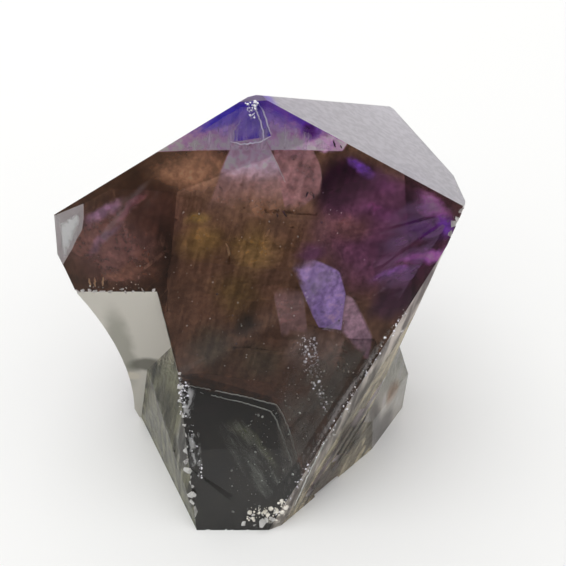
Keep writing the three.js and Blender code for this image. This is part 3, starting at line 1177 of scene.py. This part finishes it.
VEILS = (
    # Painted light: a white film just behind the clear left corner, for the brightness of the light coming
    # through it
    Veil(
        "painted_light_corner_veil",
        Sheet(((-27.6, 41.1), (-26.6, 43.4), (-25.0, 46.1), (-24.7, 48.8), (-27.7, 47.0)), 0.05, ripple=0.0),
        (0.5, 0.5, 0.35, 0.3, 0.3),
        VeilFinish("corner_veil", (1.0, 1.0, 1.0), 1.0, Streaks(60, 0.3, 2.0, -0.6, 0.0)),
    ),
    Veil(
        "bell_foot_veil",
        Sheet(((-6.3, 53.0), (2.1, 53.0), (-0.1, 57.5), (-4.6, 57.3)), 1.2),
        (3.0, 0.0, 0.0, 0.8),
        VeilFinish("bell_foot_veil", (0.72, 0.50, 0.68), 0.3, Streaks(80, 0.9, 3.0, 0.3, 0.7)),
    ),
    Veil(
        "tip_streaks",
        Sheet(((-12.0, 56.6), (9.3, 56.6), (8.0, 58.4), (2, 61.0), (-5, 61.0), (-9.5, 59)), 0.9),
        (0.2, 0.8, 1.0, 1.5, 1.0, 0.8),
        VeilFinish("tip_streaks", (0.86, 0.74, 0.88), 0.65, Streaks(88, 1.6, 6.0, 0.35, 0.8)),
    ),
    Veil(
        "tip_haze",
        Sheet(
            ((-9.0, 59.4), (-5, 57.9), (0.4, 58.4), (6.6, 59.0),
             (2.6, 61.2), (-1.2, 62.8), (-3.2, 62.8)),
            0.5, ripple=0.1,
        ),
        (1.0, 0.5, 1.0, 1.0, 0.4, 0.2, 0.4),
        VeilFinish("tip_haze", (0.50, 0.34, 0.92), 0.55, Streaks(70, 0.6, 2.0, 0.2, 0.7)),
    ),
    Veil(
        "right_haze",
        Sheet(
            ((13.5, 38.5), (18.8, 35.5), (23.6, 44.0),
             (25.2, 48.6), (20.0, 51.8), (15.0, 49.0)),
            0.2, ripple=0.05,
        ),
        (3.0, 0.4, 0.4, 0.4, 2.0, 3.0),
        VeilFinish("right_haze", (0.36, 0.17, 0.42), 0.62, Streaks(20, 0.6, 3.0, 0.3, 0.68)),
    ),
    Veil(
        "smoky_haze",
        Sheet(((2.1, 4.5), (15.8, 29.4), (12, 31), (5, 30), (0.5, 22)), 0.2, ripple=0.05),
        (0.4, 1.5, 3.0, 3.0, 1.0),
        VeilFinish("smoky_haze", (0.15, 0.125, 0.10), 0.75, Streaks(65, 0.6, 2.5, 0.2, 0.7)),
    ),
    Veil(
        "lilac_veil",
        Sheet(
            ((7.0, 32.0), (10.2, 31.3), (10.6, 37.0), (9.8, 39.9),
             (7.3, 41.3), (4.0, 40.7), (4.6, 37.2)),
            2.0,
        ),
        (0.0, 0.4, 0.3, 0.5, 2.5, 1.5, 0.0),
        VeilFinish("lilac_veil", (0.66, 0.56, 0.86), 0.38, Streaks(60, 0.7, 3.0, 0.2, 0.8)),
    ),
    Veil(
        "feather",
        Sheet(
            ((12.5, 35.8), (16.8, 37.6), (21.9, 40.4), (24.4, 42.6),
             (24.8, 44.6), (21.8, 43.2), (16.0, 41.4)),
            2.2,
        ),
        (0.8, 1.0, 1.0, 0.5, 0.5, 1.2, 1.2),
        VeilFinish("feather", (0.66, 0.54, 0.86), 0.42, Streaks(28, 1.0, 5.0, 0.35, 0.75)),
    ),
    Veil(
        "left_veil",
        Sheet(((-26.2, 42.0), (-21.5, 43.2), (-13.5, 50.6), (-15.6, 53.6), (-24.2, 48.6)), 1.8),
        (1.5, 1.5, 1.0, 1.0, 0.6),
        VeilFinish("left_veil", (0.78, 0.60, 0.70), 0.3, Streaks(44, 0.7, 6.0, 0.42, 0.75)),
    ),
    Veil(
        "foot_streaks",
        Sheet(((-2.0, 5.5), (2.6, 4.2), (2.2, 8.5), (-3.5, 18.6), (-8.5, 17.8)), 0.5, ripple=0.1),
        (1.0, 0.8, 1.0, 1.5, 1.5),
        VeilFinish("foot_streaks", (0.50, 0.53, 0.45), 0.45, Streaks(-60, 1.1, 6.0, 0.4, 0.75)),
    ),
)

SURFACE_VEILS = (
    Veil(
        "flank_crust_veil",
        Sheet(((-12.2, 18.4), (-11.0, 18.4), (-10.2, 22.8), (-11.6, 24.6), (-12.9, 25.4)), 0.03, ripple=0),
        (0.5, 0.9, 0.9, 0.3, 0.1),
        VeilFinish("crust_veil", (0.92, 0.92, 0.93), 0.85, Streaks(60, 1.0, 1.5, 0.42, 0.6)),
    ),
    Veil(
        "flank_low_veil",
        Sheet(((-11.3, 8.5), (-9.6, 9.0), (-10.0, 17.0), (-11.9, 17.5)), 0.03, ripple=0),
        (0.5, 0.7, 0.5, 0.1),
        VeilFinish("crust_low_veil", (0.85, 0.85, 0.84), 0.8, Streaks(80, 0.8, 1.8, 0.47, 0.6)),
    ),
    Veil(
        "edge_strip_veil",
        Sheet(((3.3, 6.9), (18.4, 34.3), (15.9, 31.4), (9.7, 21.2), (6.6, 14.6)), 0.03, ripple=0),
        (0.2, 0.6, 0.5, 0.5, 0.5),
        VeilFinish("edge_strip_veil", (0.44, 0.40, 0.38), 0.9, Streaks(61, 2.2, 8.0, 0.3, 0.55)),
    ),
    Veil(
        "foot_crumb_veil",
        Sheet(((-3.6, 1.0), (1.2, 0.9), (3.3, 4.0), (2.2, 6.0), (0.6, 3.9), (-3.4, 4.2)), 0.03, ripple=0),
        (0.4, 0.4, 0.6, 0.6, 0.8, 0.6),
        VeilFinish("foot_crumb_veil", (0.88, 0.84, 0.75), 0.8, Streaks(20, 0.9, 1.5, 0.45, 0.62)),
    ),
)

BRIGHT = GrainFinish("bright_film", (0.95, 0.94, 0.97), (0.78, 0.76, 0.84), 0.2)
SOFT_FILM = GrainFinish("soft_film", (0.80, 0.82, 0.78), (0.55, 0.57, 0.53), 0.3, 0.55)
CREAM = GrainFinish("cream_crumb", (0.90, 0.86, 0.78), (0.66, 0.62, 0.54), 0.5)
GOETHITE = GrainFinish("goethite", (0.05, 0.02, 0.05), (0.015, 0.006, 0.015), 0.3)
RUST = GrainFinish("rust", (0.75, 0.48, 0.28), (0.50, 0.28, 0.14), 0.5, 0.8)
THREADS = (
    Threads(
        "bell_crack",
        (
            ((-4.7, 57.8, 0.3), (-3.2, 57.5, 0.3), (-1.0, 57.8, 0.3), (0.4, 58.5, 0.3)),
            ((-1.9, 62.9, 0.1), (-1.2, 61.2, 0.2), (-0.7, 59.7, 0.3), (-0.4, 58.0, 0.3)),
            ((-1.4, 63.0, 0.1), (-0.5, 61.6, 0.2), (0.0, 60.1, 0.3), (0.5, 58.7, 0.3)),
        ),
        0.24,
        BRIGHT,
    ),
    Threads(
        "bell_foot_edge",
        (
            ((-0.1, 57.5, 1.2), (1.2, 55.0, 1.2), (2.3, 52.6, 1.2)),
            ((-3.3, 60.8, 0.8), (-4.2, 59.4, 0.9), (-4.7, 58.0, 1.1)),
        ),
        0.12,
        SOFT_FILM,
    ),
    Threads(
        "cut_edge_lines",
        (
            ((-11.6, 23.6, 0.3), (-4.1, 22.0, 0.3), (1.0, 20.6, 0.3), (1.9, 19.2, 0.3), (2.9, 16.6, 0.3),
             (3.9, 12.6, 0.3), (4.7, 8.6, 0.3)),
            ((-9.8, 22.4, 0.4), (-4.1, 21.0, 0.4), (0.1, 19.6, 0.4), (1.0, 18.2, 0.4), (2.1, 15.0, 0.4),
             (3.2, 11.5, 0.4), (3.5, 8.2, 0.4)),
        ),
        0.2,
        SOFT_FILM,
        smooth=False,
    ),
    Threads(
        "strip_edge_line",
        (((9.0, 17.0, 0.12), (6.1, 10.2, 0.12), (3.7, 4.2, 0.12)),),
        0.22,
        SOFT_FILM,
        smooth=False,
    ),
    Threads(
        "gold_feathers",
        (
            ((-5.7, 44.3, 1.5), (-5.3, 43.0, 1.8), (-5.4, 41.3, 2.0)),
            ((0.2, 46.2, 1.5), (-0.3, 45.2, 1.5)),
            ((-24.4, 39.4, 0.4), (-24.2, 38.3, 0.3)),
            ((-23.6, 39.5, 0.4), (-23.6, 38.2, 0.3)),
            ((-22.4, 39.5, 0.4), (-22.6, 38.3, 0.3)),
        ),
        0.3,
        RUST,
    ),
    Threads(
        "goethite_needles",
        (
            ((7.55, 58.9, 0.5), (7.7, 58.3, 0.7)),
            ((8.5, 58.1, 0.5), (8.85, 57.1, 0.8)),
            ((9.4, 57.4, 0.5), (9.7, 56.9, 0.7)),
            ((5.25, 51.3, 1.0), (5.05, 50.6, 1.3)),
            ((2.0, 48.8, 1.0), (2.45, 47.9, 1.3)),
            ((1.2, 48.4, 1.0), (1.3, 47.8, 1.3)),
            ((6.0, 51.0, 1.0), (6.1, 50.4, 1.3)),
        ),
        0.26,
        GOETHITE,
        smooth=False,
    ),
)

SPECKS = (
    Specks(
        "bubble_trail",
        Sheet(
            ((5.0, 26.0), (7.9, 19.0), (8.9, 19.3),
             (7.6, 23.4), (6.6, 30.6), (3.9, 31.0)),
            0.4, ripple=0.1,
        ),
        per_mm2=9.0, size=0.62, spread=0.3, finish=BRIGHT, seed=11,
    ),
    Specks(
        "veil_border",
        Sheet(((7.5, 31.7), (8.4, 31.9), (5.6, 37.4), (4.6, 37.2)), 1.9),
        per_mm2=6.0, size=0.3, spread=0.2, finish=BRIGHT, seed=12,
    ),
    Specks(
        "scattered_bubbles",
        Sheet(((-10, 26), (6, 22), (13, 34), (20, 46), (9, 50), (-12, 50), (-22, 42)), 1.4, cell=2.0),
        per_mm2=0.3, size=0.32, spread=1.2, finish=SOFT_FILM, seed=13,
    ),
    Specks(
        "scattered_goethite",
        Sheet(((-10, 28), (6, 24), (14, 36), (8, 52), (-10, 50)), 1.2, cell=2.0),
        per_mm2=0.15, size=0.4, spread=1.0, finish=GOETHITE, seed=14,
    ),
    Specks(
        "foot_glints",
        Sheet(
            ((-7.5, 2.5), (1.5, 2.8), (5.8, 11.5), (10.4, 20.0),
             (13.5, 27.5), (6, 27), (-5, 16)),
            0.35, ripple=0.1,
        ),
        per_mm2=0.8, size=0.6, spread=0.3, finish=SOFT_FILM, seed=20, flat=0.3,
    ),
    Specks(
        "strip_edge_glints",
        Sheet(
            ((0.4, 1.9), (1.5, 2.2), (19.6, 35.4),
             (18.4, 35.0), (11.3, 22.6), (8.2, 16.6)),
            0.0, ripple=0.0,
        ),
        per_mm2=5.0, size=0.5, spread=0.05, finish=BRIGHT, seed=21, flat=0.3,
    ),
    Specks(
        "foot_crumbs",
        Sheet(
            ((-3.4, 1.8), (-1.4, 1.3), (1.0, 1.4), (3.0, 4.3),
             (1.8, 5.4), (0.8, 3.8), (-3.2, 4.0)),
            0.0, ripple=0,
        ),
        per_mm2=5.0, size=0.95, spread=0.05, finish=CREAM, seed=15,
    ),
    Specks(
        "apex_sparkle",
        Sheet(((-2.2, 60.6), (-1.6, 60.8), (-1.0, 62.8), (-2.9, 62.9)), 0.05, ripple=0.0),
        per_mm2=28.0, size=0.6, spread=0.03, finish=BRIGHT, seed=19,
    ),
    Specks(
        "flank_crust",
        Sheet(((-12.9, 19.0), (-11.9, 18.6), (-11.2, 23.4), (-12.8, 25.3)), 0.0, ripple=0),
        per_mm2=6.0, size=0.85, spread=0.08, finish=BRIGHT, seed=16, flat=0.25,
    ),
    Specks(
        "flank_crumbs",
        Sheet(((-10.6, 8.5), (-9.6, 8.5), (-11.0, 18.8), (-12.0, 18.8)), 0.0, ripple=0),
        per_mm2=2.5, size=0.8, spread=0.08, finish=BRIGHT, seed=17, flat=0.25,
    ),
    Specks(
        "lip_crumbs",
        Sheet(((-25, 37.7), (-15.4, 38.2), (-15.8, 39.0), (-24.6, 38.6)), 0.0, ripple=0),
        per_mm2=2.2, size=0.55, spread=0.05, finish=CREAM, seed=18,
    ),
)


def main() -> None:
    """Builds the crystal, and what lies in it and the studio."""
    logging.basicConfig(level=logging.INFO, format="%(name)s: %(message)s")
    Studio().build()
    surface = crystal_surface()
    CrystalBody(CRYSTAL).build()
    ColourLayer(LAYER).build()
    for zone in ZONES:
        zone.build(surface)
    for piece in (*VEILS, *SURFACE_VEILS, *THREADS, *SPECKS):
        piece.build()
    scene = bpy.context.scene
    scene.view_settings.view_transform = "Standard"
    scene.cycles.max_bounces = 24
    scene.cycles.transmission_bounces = 24


if __name__ == "__main__":
    main()
